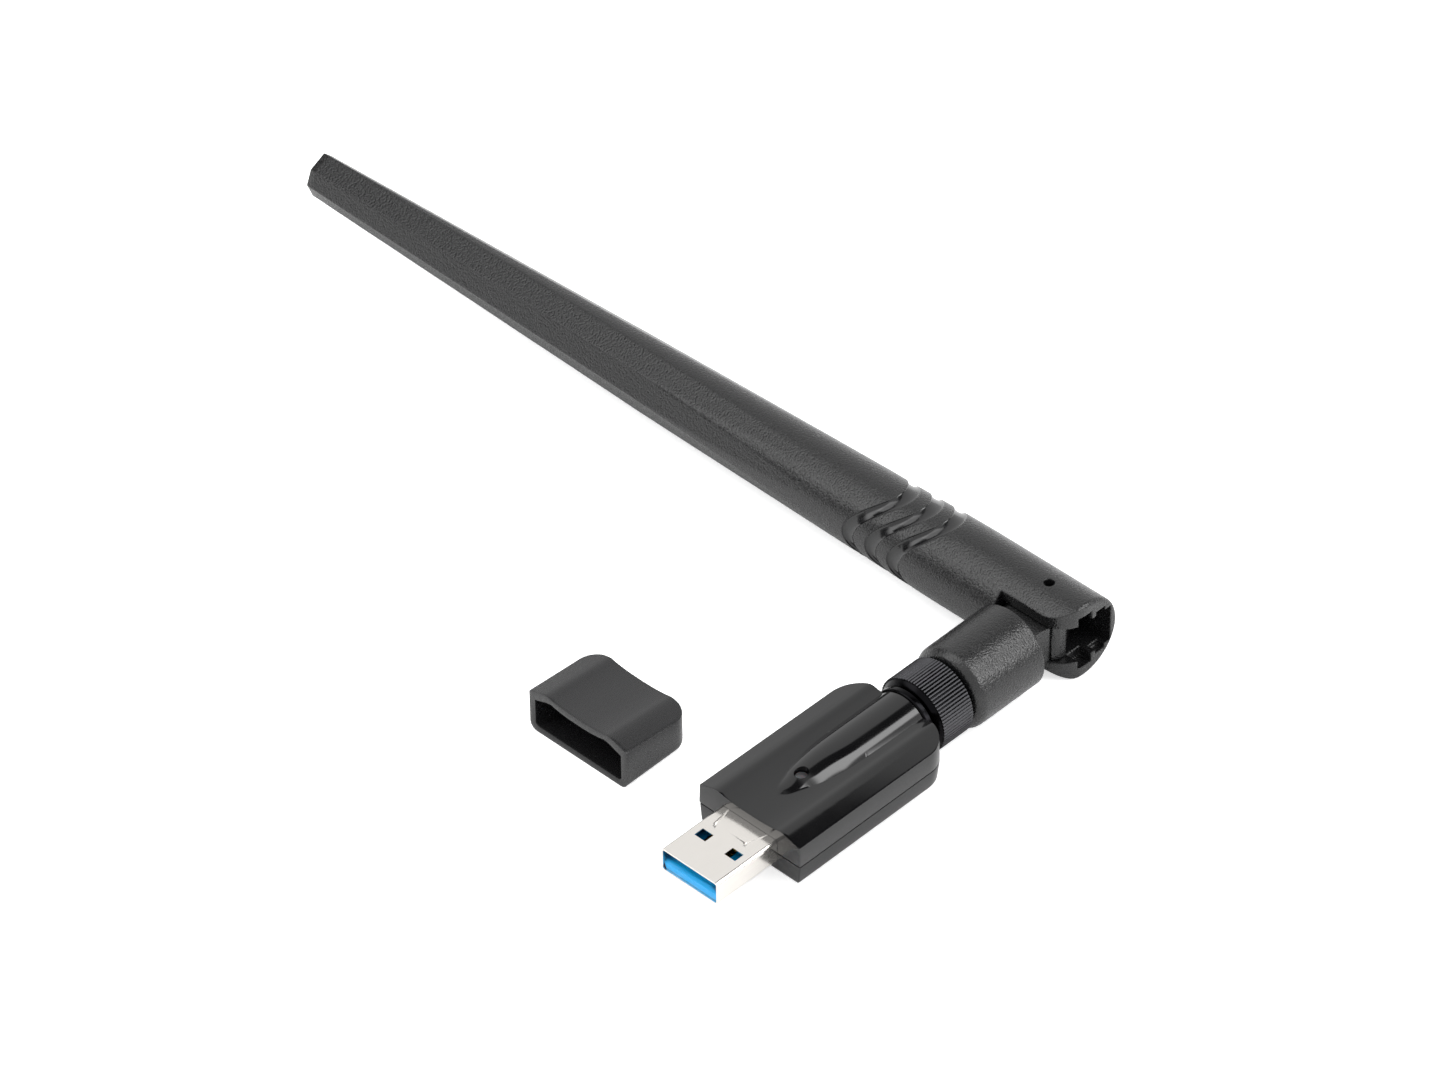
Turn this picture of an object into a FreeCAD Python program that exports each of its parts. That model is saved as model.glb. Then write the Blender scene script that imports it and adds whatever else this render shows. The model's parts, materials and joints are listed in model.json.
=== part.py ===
import FreeCAD, Part
import math
import os
from FreeCAD import Vector

# USB Wi-Fi adapter with a folding screw-on antenna and a loose plug cap.
# Millimetres. The origin is the centre of the plug's mouth. X runs from the plug to the
# antenna hinge, Y is the way the folded antenna points, Z is up.

# plug
plugWidth = 12.0
plugHeight = 4.5
plugWall = 0.3
plugCorner = 0.65
plugTailX = 18.0
windowX = 5.6
windowLength = 1.9
windowWidth = 2.3
windowY = 3.2
dimpleX = 9.35
insulatorTopZ = -0.05

# housing
frontX = 13.3
rearX = 48.0
halfWidth = 10.8
topHalfWidth = 10.65
bottomHalfWidth = 10.5
bottomZ = -4.35
partingZ = -0.3
partingGap = 0.1
cornerZ = 3.5
rearCornerRadius = 5.0
wall = 1.1
cavityTopZ = 2.9
spineStartX = 19.6
spineRadius = 5.65

# status light
ledX = 25.2
ledY = 0.2
windowRadius = 1.2
lensTopZ = 3.9

# circuit board
boardStartX = 18.3
boardEndX = 43.4
boardTopZ = -0.46
boardThickness = 1.0

# threaded jack and the antenna's connector
threadRadius = 3.15
threadRootRadius = 2.85
threadPitch = 0.7056
threadStartX = 49.6
jackStartX = 43.5
jackEndX = 55.5
socketRadius = 2.3
dielectricRadius = 2.0
flangeRadius = 6.0
dielectricEndX = 50.5
ringX = 57.3
nutBore = 3.25
nutStartX = 49.5
nutEndX = 57.2
nutRadius = 6.88
coaxRadius = 0.9

# swivel barrel
barrelStartX = 57.9
barrelEndX = 73.1
barrelRadius = 7.44
barrelRound = 2.0
stemBore = 2.26

# hinge
pivotX = 82.1
pinRadius = 0.95
tongueHalfHeight = 3.5
cheekHalfGap = 3.7
knuckleRadius = 6.3
cavityRadius = 6.1

# mast
forkEndY = -8.0
forkRadius = 7.45
forkStraightY = 16.0
forkWaistY = 24.0
waistRadius = 7.2
bladeStartY = 38.0
bladeRadius = 7.1
tipY = 166.5
tipRadius = 4.6
facetStartY = 46.0
grooveY = (23.6, 28.5, 33.4)
boreRadius = 2.4
boreEndY = 128.0
slotEndY = 5.7
slotFlatX = 77.1

# cap, lying beside the housing
capMouthX = 12.85
capLength = 14.3
capWall = 1.25
capCentreY = 37.0
capRearRadius = 3.0
floorZ = -forkRadius

# how far the upper surface sinks and the underside rises from front to rear
housingSink = 0.5
housingShoulderSink = 0.25
capSink = 1.1
capShoulderSink = 0.88
cavitySink = 0.35
capRise = 0.25

xAxis = Vector(1, 0, 0)
yAxis = Vector(0, 1, 0)
zAxis = Vector(0, 0, 1)


def box(x0, x1, y0, y1, z0, z1):
    return Part.makeBox(x1 - x0, y1 - y0, z1 - z0, Vector(x0, y0, z0))


def rodX(x0, x1, radius, y=0.0, z=0.0):
    return Part.makeCylinder(radius, x1 - x0, Vector(x0, y, z), xAxis)


def rodY(y0, y1, radius, x=0.0, z=0.0):
    return Part.makeCylinder(radius, y1 - y0, Vector(x, y0, z), yAxis)


def rodZ(z0, z1, radius, x=0.0, y=0.0):
    return Part.makeCylinder(radius, z1 - z0, Vector(x, y, z0), zAxis)


def revolveX(points):
    # points are (x, radius) pairs, closed down to the X axis
    outline = [Vector(x, 0, r) for x, r in points]
    wire = Part.makePolygon(outline + [outline[0]])
    return Part.Face(wire).revolve(Vector(0, 0, 0), xAxis, 360)


def prismZ(points, z0, z1):
    outline = [Vector(x, y, z0) for x, y in points]
    wire = Part.makePolygon(outline + [outline[0]])
    return Part.Face(wire).extrude(Vector(0, 0, z1 - z0))


def roundedBox(x0, x1, halfY, halfZ, radius):
    # a bar along X whose four long edges are rounded
    bar = box(x0, x1, -halfY, halfY, -halfZ, halfZ)
    longEdges = [e for e in bar.Edges if abs(e.Vertexes[0].X - e.Vertexes[1].X) > 0.5]
    return bar.makeFillet(radius, longEdges)


def export(name, shape):
    shape = shape.removeSplitter()
    solids = len(shape.Solids)
    print(f"{name:22s} solids {solids:2d}  valid {shape.isValid()}  volume {shape.Volume:9.2f}")
    if solids == 1:
        shape = shape.Solids[0]
    shape.exportStep(f"parts/{name}.step")


# ---- housing and cap outlines ----

def crownWire(x, sink, shoulderSink, rise, inset=0.0):
    # the end view at x: drafted sides, sharp shoulders, two soft ridges, a shallow dip
    narrow = (halfWidth - inset) / halfWidth
    top = -sink - inset
    floor = bottomZ + rise + inset
    crest = [(y * narrow, z + top) for y, z in
             ((7.9, 4.4), (6.75, 4.6), (5.4, 4.35), (3.0, 4.08), (0.0, 4.0))]
    crest = crest + [(-y, z) for y, z in reversed(crest[:-1])]
    curve = Part.BSplineCurve()
    curve.interpolate([Vector(x, y, z) for y, z in crest])
    side = [((bottomHalfWidth - 0.8) * narrow, floor), (bottomHalfWidth * narrow, floor + 0.7),
            (halfWidth * narrow, partingZ),
            (topHalfWidth * narrow, cornerZ - shoulderSink - inset), crest[0]]
    left = [Vector(x, y, z) for y, z in side]
    right = [Vector(x, -y, z) for y, z in side]
    edges = [Part.makeLine(a, b) for a, b in zip(left[:-1], left[1:])]
    edges.append(curve.toShape())
    edges += [Part.makeLine(a, b) for a, b in zip(right[:0:-1], right[-2::-1])]
    edges.append(Part.makeLine(right[0], left[0]))
    return Part.Wire(edges)


def planOutline(x0, x1, halfY, radius, z0, z1):
    # seen from above: square at the front, rounded at the two rear corners
    block = box(x0, x1, -halfY, halfY, z0, z1)
    rear = [e for e in block.Edges
            if abs(e.Vertexes[0].X - x1) < 1e-6 and abs(e.Vertexes[1].X - x1) < 1e-6
            and abs(e.Vertexes[0].Z - e.Vertexes[1].Z) > 1]
    return block.makeFillet(radius, rear)


def crownBlock(x0, x1, radius, sink, shoulderSink, rise, inset=0.0):
    ends = [crownWire(x0, 0, 0, 0, inset), crownWire(x1, sink, shoulderSink, rise, inset)]
    body = Part.makeLoft(ends, True, True)
    return body.common(planOutline(x0, x1, halfWidth + 0.5, radius, -8, 8))


def spine():
    # a bullet-shaped rise along the middle of the lid, coaxial with the jack
    crest = [(spineStartX, 3.9), (21.3, 4.14), (23.7, 4.45), (26.1, 4.93),
             (31.0, 5.5), (36.0, spineRadius), (rearX, spineRadius)]
    curve = Part.BSplineCurve()
    curve.interpolate([Vector(x, 0, r) for x, r in crest])
    edges = [
        curve.toShape(),
        Part.makeLine(Vector(rearX, 0, spineRadius), Vector(rearX, 0, 0)),
        Part.makeLine(Vector(rearX, 0, 0), Vector(spineStartX, 0, 0)),
        Part.makeLine(Vector(spineStartX, 0, 0), Vector(spineStartX, 0, 3.9)),
    ]
    whole = Part.Face(Part.Wire(edges)).revolve(Vector(0, 0, 0), xAxis, 360)
    return whole.common(box(spineStartX, rearX, -6, 6, 3.4, 8))


def housingCavity():
    hollow = planOutline(frontX + wall, rearX - wall, 9.4, rearCornerRadius - wall,
                         bottomZ + wall, cavityTopZ)
    return hollow


def jackPocket():
    # room for the jack's block below the spine, and its way out through the rear wall
    return box(43.3, rearX - wall, -3.3, 3.3, -3.2, 3.3).fuse(rodX(46, rearX + 1, 3.1))


def plugOpening():
    return roundedBox(frontX - 1, frontX + wall + 1, plugWidth / 2 + 0.05,
                      plugHeight / 2 + 0.05, plugCorner)


def housingShells():
    body = crownBlock(frontX, rearX, rearCornerRadius, housingSink, housingShoulderSink, 0)
    body = body.fuse(spine())
    body = body.cut(housingCavity()).cut(jackPocket()).cut(plugOpening())
    body = body.cut(rodZ(0, 8, windowRadius, ledX, ledY))
    body = body.cut(rodZ(0, 3.6, windowRadius + 0.5, ledX, ledY))
    top = body.common(box(0, 60, -20, 20, partingZ + partingGap / 2, 20))
    bottom = body.common(box(0, 60, -20, 20, -20, partingZ - partingGap / 2))
    lipZ = partingZ + 0.9
    lip = planOutline(frontX + wall + 0.05, rearX - wall - 0.05, 9.35,
                      rearCornerRadius - wall, bottomZ + wall, lipZ)
    lip = lip.cut(planOutline(frontX + wall + 0.65, rearX - wall - 0.65, 8.75,
                              rearCornerRadius - wall - 0.6, bottomZ, lipZ + 1))
    lip = lip.cut(jackPocket()).cut(plugOpening())
    lip = lip.cut(box(frontX, plugTailX + 1, -6.1, 6.1, -3, 3))
    bottom = bottom.fuse(lip)
    return top, bottom


# ---- plug ----

def plugShell():
    outer = roundedBox(0, plugTailX, plugWidth / 2, plugHeight / 2, plugCorner)
    inner = roundedBox(-1, plugTailX + 1, plugWidth / 2 - plugWall,
                       plugHeight / 2 - plugWall, plugCorner - plugWall)
    shell = outer.cut(inner)
    for y in (-windowY, windowY):
        shell = shell.cut(box(windowX, windowX + windowLength,
                              y - windowWidth / 2, y + windowWidth / 2, -5, 5))
        dent = Part.makeSphere(0.75, Vector(dimpleX, y + 0.35, plugHeight / 2 + 0.63))
        shell = shell.cut(dent)
    return shell


def usb2Contacts():
    strips = []
    for y in (-3.5, -1.0, 1.0, 3.5):
        blade = box(2.0, 18.2, y - 0.5, y + 0.5, insulatorTopZ, insulatorTopZ + 0.15)
        drop = box(18.2, 18.35, y - 0.5, y + 0.5, boardTopZ, insulatorTopZ + 0.15)
        foot = box(18.35, 20.0, y - 0.5, y + 0.5, boardTopZ, boardTopZ + 0.15)
        strips.append(blade.fuse([drop, foot]))
    return Part.makeCompound(strips)


def usb3Contacts():
    strips = []
    for y in (-4.6, -2.25, 0.0, 2.25, 4.6):
        blade = box(9.0, 18.2, y - 0.3, y + 0.3, insulatorTopZ, insulatorTopZ + 0.15)
        bump = rodY(y - 0.3, y + 0.3, 0.45, 9.6, insulatorTopZ).common(
            box(9.0, 10.2, y - 0.3, y + 0.3, insulatorTopZ, 1))
        drop = box(18.2, 18.35, y - 0.3, y + 0.3, boardTopZ, insulatorTopZ + 0.15)
        foot = box(18.35, 20.0, y - 0.3, y + 0.3, boardTopZ, boardTopZ + 0.15)
        strips.append(blade.fuse([bump, drop, foot]))
    return Part.makeCompound(strips)


def plugInsulator():
    innerZ = plugHeight / 2 - plugWall
    halfY = plugWidth / 2 - plugWall - 0.02
    tongue = roundedBox(0.35, 12.6, halfY, innerZ - 0.02, 0.33)
    tongue = tongue.common(box(0, 13, -6, 6, -3, insulatorTopZ))
    rear = roundedBox(12.6, 18.1, halfY, innerZ - 0.02, 0.33)
    block = tongue.fuse(rear)
    bevel = prismZ([(0, 0), (0.7, 0), (0, 0.7)], -6, 6)
    bevel.rotate(Vector(0, 0, 0), xAxis, 90)
    bevel.rotate(Vector(0, 0, 0), yAxis, 90)
    bevel.translate(Vector(0.35, 0, insulatorTopZ))
    block = block.cut(bevel)
    return block.cut(usb2Contacts()).cut(usb3Contacts())


# ---- electronics ----

def circuitBoard():
    board = box(boardStartX, boardEndX, -8.6, 8.6, boardTopZ - boardThickness, boardTopZ)
    upright = [e for e in board.Edges if abs(e.Vertexes[0].Z - e.Vertexes[1].Z) > 0.5]
    return board.makeFillet(0.8, upright)


def onBoard(x, y, length, width, height):
    return box(x - length / 2, x + length / 2, y - width / 2, y + width / 2,
               boardTopZ, boardTopZ + height)


def shieldCan():
    can = onBoard(34.0, 0, 11.0, 12.0, 1.9)
    inside = onBoard(34.0, 0, 10.6, 11.6, 1.7)
    return can.cut(inside)


def chipCapacitors():
    rows = [onBoard(21.6 + 2.1 * i, 7.3, 1.0, 0.5, 0.35) for i in range(9)]
    rows += [onBoard(21.6 + 2.1 * i, -7.3, 1.0, 0.5, 0.35) for i in range(9)]
    return Part.makeCompound(rows)


def ledLens():
    lens = rodZ(0.4, lensTopZ, windowRadius - 0.06, ledX, ledY)
    foot = rodZ(0.4, 2.7, windowRadius + 0.35, ledX, ledY)
    lens = lens.fuse(foot).removeSplitter()
    rim = [e for e in lens.Edges if abs(e.BoundBox.ZMin - lensTopZ) < 1e-3]
    return lens.makeFillet(0.25, rim)


# ---- threaded jack ----

def jackBody():
    root = threadRootRadius
    block = box(jackStartX, 46.9, -3.1, 3.1, -3.1, 3.1)
    legs = [box(41.0, jackStartX, y - 0.45, y + 0.45, boardTopZ, boardTopZ + 0.9)
            for y in (-2.6, 2.6)]
    outline = [(46.0, 0), (46.0, 3.0), (threadStartX - 0.2, 3.0), (threadStartX - 0.2, root)]
    turns = int((jackEndX - 0.4 - threadStartX) / threadPitch)
    for i in range(turns):
        x = threadStartX + i * threadPitch
        outline.append((x, root))
        outline.append((x + threadPitch * 0.35, threadRadius))
        outline.append((x + threadPitch * 0.6, threadRadius))
        outline.append((x + threadPitch * 0.95, root))
    outline += [(jackEndX, root), (jackEndX, 0)]
    body = block.fuse([revolveX(outline)] + legs)
    body = body.cut(rodX(dielectricEndX, jackEndX + 1, socketRadius))
    return body.cut(rodX(jackStartX - 1, dielectricEndX + 0.5, dielectricRadius))


def jackDielectric():
    return rodX(jackStartX + 0.1, dielectricEndX, dielectricRadius).cut(rodX(41, 51, 0.46))


def jackContact():
    pin = rodX(40.2, 53.4, 0.46)
    point = Part.makeCone(0.46, 0.2, 0.5, Vector(53.4, 0, 0), xAxis)
    return pin.fuse(point)


def flangeRing():
    ring = rodX(rearX + 0.05, 49.3, flangeRadius).cut(rodX(rearX - 1, 50, threadRadius + 0.05))
    rims = [e for e in ring.Edges if e.Curve.TypeId == "Part::GeomCircle"
            and abs(e.Curve.Radius - flangeRadius) < 1e-3]
    return ring.makeFillet(0.3, rims)


# ---- antenna connector ----

def connectorBody():
    # a collar that the nut pulls on, a groove for the retaining ring, then the stem with a
    # bead that keeps it in the barrel
    collar = 2.6
    stem = 2.2
    outline = [(55.6, 0), (55.6, 3.05), (56.15, 3.05), (56.15, collar), (ringX, collar),
               (ringX, 2.3), (ringX + 0.4, 2.3), (ringX + 0.4, collar), (58.5, collar),
               (58.5, stem), (66.0, stem), (66.0, 2.8), (67.0, 2.8), (67.0, stem),
               (68.0, stem), (68.0, 0)]
    body = revolveX(outline).cut(rodX(55, 60, dielectricRadius))
    return body.cut(rodX(59, 69, coaxRadius + 0.05))


def connectorDielectric():
    return rodX(50.9, 60.0, dielectricRadius - 0.02).cut(rodX(50, 61, 0.75))


def connectorContact():
    return rodX(51.0, 59.9, 0.75).cut(rodX(50, 54.3, 0.5))


def retainingRing():
    ring = rodX(ringX + 0.02, ringX + 0.38, 3.4).cut(rodX(57, 58, 2.32))
    return ring.cut(box(57, 58, -0.6, 0.6, -4, 0))


def couplingNut():
    outline = [(nutStartX, 0), (nutStartX, 5.5), (49.75, 6.1), (50.2, 6.5),
               (50.8, nutRadius), (nutEndX - 0.25, nutRadius), (nutEndX, nutRadius - 0.25),
               (nutEndX, 0)]
    nut = revolveX(outline)
    nut = nut.cut(rodX(nutStartX - 1, 56.2, nutBore)).cut(rodX(56, 58, 2.65))
    return nut.cut(Part.makeCone(nutBore + 0.45, nutBore, 0.45, Vector(nutStartX, 0, 0), xAxis))


# ---- swivel barrel ----

def knucklePlan():
    # seen from above: a neck that widens into a detent head, then a narrow lug on the pivot
    return [(barrelEndX - 1, -4.2), (75.5, -4.2), (77.6, -4.5), (78.9, -5.4), (80.3, -5.4),
            (80.9, -3.3), (pivotX, -3.3), (pivotX, 3.3), (80.9, 3.3), (80.3, 5.4),
            (78.9, 5.4), (77.6, 4.5), (75.5, 4.2), (barrelEndX - 1, 4.2)]


def swivelBarrel():
    arc = [(barrelStartX + barrelRound * (1 - math.cos(math.radians(a))),
            barrelRadius - barrelRound * (1 - math.sin(math.radians(a))))
           for a in range(0, 91, 15)]
    outline = [(barrelStartX, 0)] + arc
    outline += [(barrelEndX - 0.15, barrelRadius), (barrelEndX, barrelRadius - 0.15),
                (barrelEndX, 0)]
    barrel = revolveX(outline)
    knuckle = prismZ(knucklePlan(), -tongueHalfHeight, tongueHalfHeight)
    lug = rodZ(-tongueHalfHeight, tongueHalfHeight, 3.3, pivotX, 0)
    reach = rodZ(-5, 5, knuckleRadius, pivotX, 0).fuse(box(70, 79, -6, 6, -5, 5))
    barrel = barrel.fuse(knuckle.fuse(lug).common(reach))
    barrel = barrel.cut(rodX(barrelStartX - 1, 58.8, 5.0))
    barrel = barrel.cut(rodX(58, 70, stemBore)).cut(rodX(65.9, 67.1, 2.86))
    barrel = barrel.cut(rodX(69, 78, coaxRadius + 0.3))
    barrel = barrel.cut(box(76.5, 90, -1.3, 8, -1.3, 1.3))
    barrel = barrel.cut(rodZ(-5, 5, pinRadius + 0.05, pivotX, 0))
    for side in (-1, 1):
        slit = box(77.45, 77.85, side * 5 - 1, side * 5 + 1, -5, 5)
        barrel = barrel.cut(slit)
    return barrel


# ---- hinge and mast ----

def pivotPins():
    upper = rodZ(1.5, 6.3, pinRadius, pivotX, 0)
    lower = rodZ(-6.3, -1.5, pinRadius, pivotX, 0)
    return Part.makeCompound([upper, lower])


def hingeCoax():
    # a quarter turn from the barrel's axis to the mast's axis
    turn = pivotX - 77.0
    circle = Part.makeCircle(coaxRadius, Vector(77.0, 0, 0), xAxis)
    face = Part.Face(Part.Wire(circle))
    return face.revolve(Vector(77.0, turn, 0), zAxis, 90)


def mastRound():
    # fork, waist and tapering blade as one turned shape about the mast's axis
    edge = 0.7
    outline = [(forkEndY, 0), (forkEndY, forkRadius - edge),
               (forkEndY + 0.3 * edge, forkRadius - 0.3 * edge),
               (forkEndY + edge, forkRadius), (forkStraightY, forkRadius),
               (forkWaistY, waistRadius), (bladeStartY, bladeRadius),
               (tipY, tipRadius), (tipY, 0)]
    points = [Vector(pivotX, y, r) for y, r in outline]
    wire = Part.makePolygon(points + [points[0]])
    return Part.Face(wire).revolve(Vector(pivotX, 0, 0), yAxis, 360)


def tipSection():
    # upper half of the tip's section about the mast axis, from its front edge to its flat back
    return [(-4.4, 0.0), (-3.5, 2.7), (-0.1, 4.25), (1.7, 2.7), (1.7, 0.0)]


def facetCutters():
    # each facet is a plane that leaves the round blade at facetStartY and reaches its place
    # in the section at the tip
    share = (facetStartY - bladeStartY) / (tipY - bladeStartY)
    startRadius = bladeRadius + (tipRadius - bladeRadius) * share
    section = tipSection()
    cutters = []
    for (x0, z0), (x1, z1) in zip(section[:-1], section[1:]):
        length = math.hypot(x1 - x0, z1 - z0)
        normal = (-(z1 - z0) / length, (x1 - x0) / length)
        reach = x0 * normal[0] + z0 * normal[1]
        for mirror in (1, -1):
            out = Vector(normal[0], 0, normal[1] * mirror)
            if mirror == -1 and abs(normal[1]) < 1e-6:
                continue
            along = Vector(normal[1] * mirror, 0, -normal[0])
            slope = (reach - startRadius) / (tipY - facetStartY)
            corners = []
            for y, d in ((facetStartY, startRadius), (tipY + 5, reach + slope * 5),
                         (tipY + 5, 20), (facetStartY, 20)):
                corners.append(Vector(pivotX, y, 0) + out * d - along * 15)
            face = Part.Face(Part.makePolygon(corners + [corners[0]]))
            cutters.append(face.extrude(along * 30))
    return cutters


def forkCutters():
    # the hinge space: open at the near side and at the end, closed at the far side
    gap = cheekHalfGap
    cavity = rodZ(-gap, gap, cavityRadius, pivotX, 0)
    mouth = box(pivotX - 9, pivotX + cavityRadius - 0.2, forkEndY - 1, 0, -gap, gap)
    side = box(pivotX - 9, pivotX, -1, slotEndY, -gap, gap)
    flat = box(pivotX - 9, slotFlatX, forkEndY - 1, slotEndY, -9, 9)
    # the near end corner is rounded in plan so that it passes the barrel as the mast turns
    corner = box(pivotX - 9, pivotX, forkEndY - 1, -3, -9, 9)
    corner = corner.cut(rodZ(-9, 9, 5.0, pivotX, -3))
    notches = [box(x0, x1, forkEndY - 1, forkEndY + depth, -h, h)
               for x0, x1, depth, h in ((80.5, 83.5, 2.6, 5.4), (84.4, 86.6, 1.6, 4.5))]
    return [cavity, mouth, side, flat, corner] + notches


def mastShell():
    mast = mastRound()
    for cutter in facetCutters():
        mast = mast.cut(cutter)
    for y in grooveY:
        ring = Part.makeTorus(waistRadius + 0.85, 1.25, Vector(pivotX, y, 0), yAxis)
        mast = mast.cut(ring)
    for cutter in forkCutters():
        mast = mast.cut(cutter)
    mast = mast.cut(rodZ(-9, 9, pinRadius, pivotX, 0))
    return mast.cut(rodY(3, boreEndY, boreRadius, pivotX))


def dipoleSleeve():
    return rodY(52, 80, 2.2, pivotX).cut(rodY(51, 81, coaxRadius + 0.03, pivotX))


def radiatorRod():
    return rodY(80.2, 126, 0.6, pivotX)


def centringBead():
    return rodY(117, 121, boreRadius - 0.05, pivotX).cut(rodY(116, 122, 0.62, pivotX))


# ---- cap ----

def plugCap():
    # the housing's own outline, lower towards its closed end
    outer = crownBlock(frontX, frontX + capLength, capRearRadius, capSink, capShoulderSink,
                       capRise)
    inner = crownBlock(frontX - 1, frontX + capLength - capWall, capRearRadius - 1,
                       cavitySink, cavitySink, capRise, capWall)
    cap = outer.cut(inner)
    cap.translate(Vector(capMouthX - frontX, capCentreY, floorZ - bottomZ))
    return cap


os.makedirs("parts", exist_ok=True)
housingTop, housingBottom = housingShells()
export("housing_top", housingTop)
export("housing_bottom", housingBottom)
export("plug_shell", plugShell())
export("plug_insulator", plugInsulator())
export("usb2_contacts", usb2Contacts())
export("usb3_contacts", usb3Contacts())
export("circuit_board", circuitBoard())
export("wifi_chip", onBoard(34.0, 0, 7.0, 7.0, 0.85))
export("shield_can", shieldCan())
export("crystal", onBoard(22.6, 4.6, 3.2, 2.5, 0.7))
export("voltage_regulator", onBoard(22.6, -4.6, 2.9, 1.6, 1.1))
export("chip_capacitors", chipCapacitors())
export("status_led", onBoard(ledX, ledY, 1.6, 0.8, 0.6))
export("led_lens", ledLens())
export("jack_body", jackBody())
export("jack_flange_ring", flangeRing())
export("jack_dielectric", jackDielectric())
export("jack_contact", jackContact())
export("connector_body", connectorBody())
export("connector_dielectric", connectorDielectric())
export("connector_contact", connectorContact())
export("retaining_ring", retainingRing())
export("coupling_nut", couplingNut())
export("base_coax", rodX(60.0, 77.0, coaxRadius))
export("swivel_barrel", swivelBarrel())
export("hinge_coax", hingeCoax())
export("pivot_pins", pivotPins())
export("mast_shell", mastShell())
export("mast_coax", rodY(5.1, 80.0, coaxRadius, pivotX))
export("dipole_sleeve", dipoleSleeve())
export("radiator_rod", radiatorRod())
export("centring_bead", centringBead())
export("plug_cap", plugCap())
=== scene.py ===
import json
import math

import bmesh
import bpy
from mathutils import Matrix, Vector


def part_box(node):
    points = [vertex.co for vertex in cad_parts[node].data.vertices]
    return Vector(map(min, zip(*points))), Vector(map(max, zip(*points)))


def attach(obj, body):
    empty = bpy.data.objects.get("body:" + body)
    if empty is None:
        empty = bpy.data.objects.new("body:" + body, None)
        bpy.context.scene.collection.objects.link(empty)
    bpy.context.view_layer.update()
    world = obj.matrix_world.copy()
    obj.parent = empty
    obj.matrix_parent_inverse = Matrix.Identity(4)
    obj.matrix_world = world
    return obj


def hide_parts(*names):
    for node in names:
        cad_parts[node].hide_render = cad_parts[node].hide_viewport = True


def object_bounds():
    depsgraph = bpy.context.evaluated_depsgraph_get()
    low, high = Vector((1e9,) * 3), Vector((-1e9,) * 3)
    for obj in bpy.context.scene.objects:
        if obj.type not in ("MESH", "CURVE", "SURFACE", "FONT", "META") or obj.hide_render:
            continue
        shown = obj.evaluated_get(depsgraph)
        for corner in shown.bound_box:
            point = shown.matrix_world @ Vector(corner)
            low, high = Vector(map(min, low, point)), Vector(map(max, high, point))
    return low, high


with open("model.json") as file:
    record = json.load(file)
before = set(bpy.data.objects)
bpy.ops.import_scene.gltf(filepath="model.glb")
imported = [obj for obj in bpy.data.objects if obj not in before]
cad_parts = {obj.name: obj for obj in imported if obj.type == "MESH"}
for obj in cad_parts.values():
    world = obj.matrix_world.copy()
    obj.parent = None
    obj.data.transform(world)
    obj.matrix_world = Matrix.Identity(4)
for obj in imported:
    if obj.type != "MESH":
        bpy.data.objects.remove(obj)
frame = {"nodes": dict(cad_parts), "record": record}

# Wireless adapter: glossy housing with a bright plug, a folding antenna on a knurled nut,
# and the plug's loose cap. Everything is in metres in the CAD model's frame.

mm = 0.001
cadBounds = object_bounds()
scene = bpy.context.scene


# helpers that every piece shares

def toLinear(hexColour):
    # sRGB hex to the linear values that shaders take
    parts = [int(hexColour[i:i + 2], 16) / 255 for i in (1, 3, 5)]
    return [p / 12.92 if p <= 0.04045 else ((p + 0.055) / 1.055) ** 2.4 for p in parts] + [1.0]


def addNode(tree, kind, settings=None, links=None):
    node = tree.nodes.new(kind)
    for key, value in (settings or {}).items():
        if isinstance(key, str) and hasattr(node, key):
            setattr(node, key, value)
        else:
            node.inputs[key].default_value = value
    for key, source in (links or {}).items():
        tree.links.new(source, node.inputs[key])
    return node


def smoothstep(low, high, value):
    t = min(1.0, max(0.0, (value - low) / (high - low)))
    return t * t * (3 - 2 * t)


def sizeOf(node):
    # a node's low and high corners in millimetres
    low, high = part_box(node)
    return [v / mm for v in low], [v / mm for v in high]


def bodyOf(node):
    for body, members in frame["record"]["behaviour"]["bodies"].items():
        if node in members:
            return body


def slotOf(node):
    for part in frame["record"]["subparts"]:
        if part["node"] == node:
            return part["material_slot"]


def shade(mesh, angle):
    for polygon in mesh.polygons:
        polygon.use_smooth = True
    mesh.set_sharp_from_angle(angle=math.radians(angle))


def newObject(name, mesh):
    thing = bpy.data.objects.new(name, mesh)
    scene.collection.objects.link(thing)
    return thing


def meshFrom(name, points, faces):
    # points are in millimetres
    mesh = bpy.data.meshes.new(name)
    mesh.from_pydata([[c * mm for c in p] for p in points], [], faces)
    mesh.update()
    return mesh


def gridFaces(rows, columns, closed):
    # quads over rows of equal length; a closed grid joins its last column to its first
    faces = []
    span = columns if closed else columns - 1
    for i in range(rows - 1):
        for j in range(span):
            k = (j + 1) % columns
            faces.append((i * columns + j, i * columns + k,
                          (i + 1) * columns + k, (i + 1) * columns + j))
    return faces


def tidyNormals(mesh):
    # merges doubles and turns every face outwards
    bm = bmesh.new()
    bm.from_mesh(mesh)
    bmesh.ops.remove_doubles(bm, verts=bm.verts, dist=0.0005 * mm)
    bmesh.ops.recalc_face_normals(bm, faces=bm.faces)
    bm.to_mesh(mesh)
    bm.free()


def applied(thing):
    # the evaluated mesh as a plain one, with its modifiers gone
    depsgraph = bpy.context.evaluated_depsgraph_get()
    mesh = bpy.data.meshes.new_from_object(thing.evaluated_get(depsgraph))
    thing.modifiers.clear()
    thing.data = mesh
    return mesh


def roundEdges(thing, width, segments, limit):
    bevel = thing.modifiers.new("edge round", "BEVEL")
    bevel.width = width * mm
    bevel.segments = segments
    bevel.limit_method = "ANGLE"
    bevel.angle_limit = math.radians(limit)
    bevel.use_clamp_overlap = True


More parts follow.
